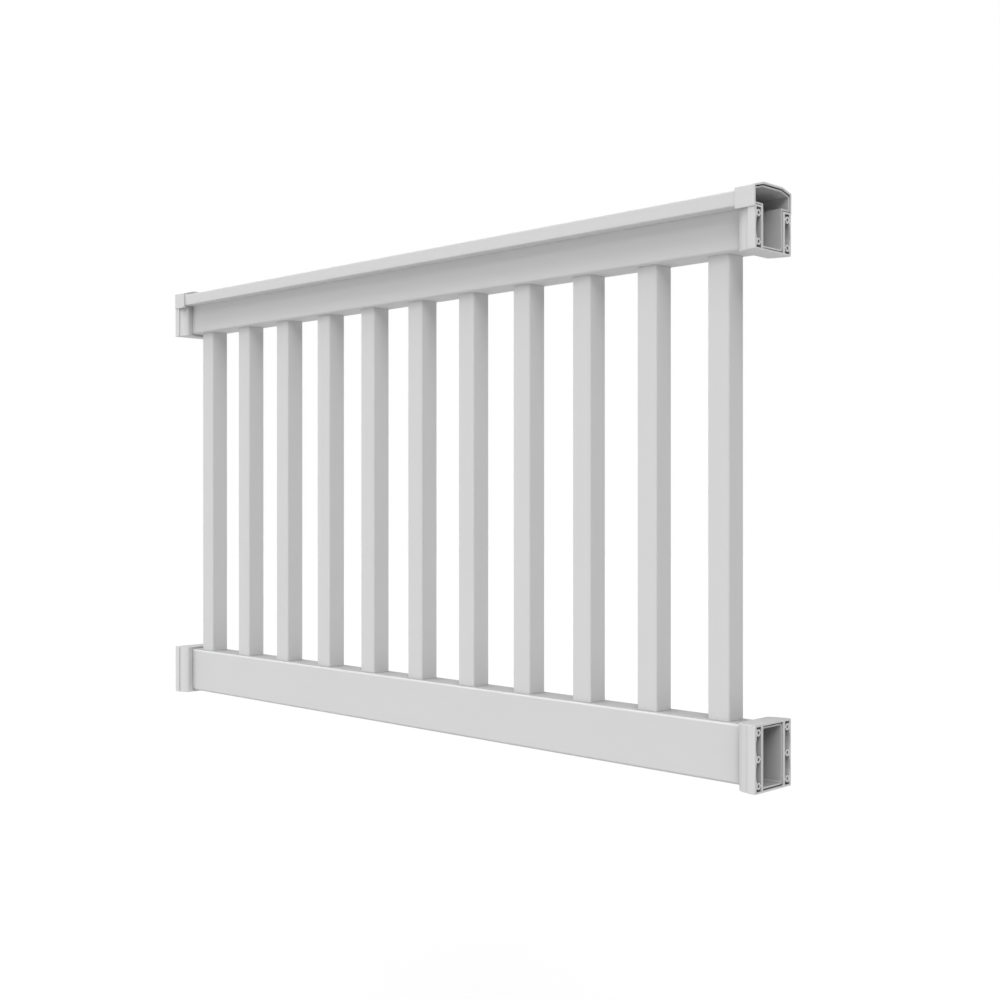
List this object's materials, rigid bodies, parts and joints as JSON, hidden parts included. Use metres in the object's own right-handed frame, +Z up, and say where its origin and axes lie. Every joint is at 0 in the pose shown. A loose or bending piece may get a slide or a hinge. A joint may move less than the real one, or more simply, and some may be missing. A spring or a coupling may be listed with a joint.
{
  "type": "vinyl deck railing section",
  "caption": "Straight white vinyl deck railing section: T-shaped top rail, rectangular bottom rail, square balusters and moulded end brackets that fasten it between posts.",
  "frame": {"origin": "middle of the lower left bracket's post face, at the bottom rail's mid-height", "axes": "+X along the railing to the right post, +Y from the front to the back, +Z up"},
  "size_m": [1.4986, 0.0952, 0.8727],
  "materials": {
    "extruded_vinyl": "satin white",
    "moulded_vinyl": "satin white"
  },
  "bodies": {
    "root": {"top_rail": "extruded_vinyl", "bottom_rail": "extruded_vinyl", "baluster_01": "extruded_vinyl", "baluster_02": "extruded_vinyl", "baluster_03": "extruded_vinyl", "baluster_04": "extruded_vinyl", "baluster_05": "extruded_vinyl", "baluster_06": "extruded_vinyl", "baluster_07": "extruded_vinyl", "baluster_08": "extruded_vinyl", "baluster_09": "extruded_vinyl", "baluster_10": "extruded_vinyl", "baluster_11": "extruded_vinyl", "bracket_top_left": "moulded_vinyl", "bracket_top_right": "moulded_vinyl", "bracket_bottom_left": "moulded_vinyl", "bracket_bottom_right": "moulded_vinyl"}
  },
  "joints": []
}
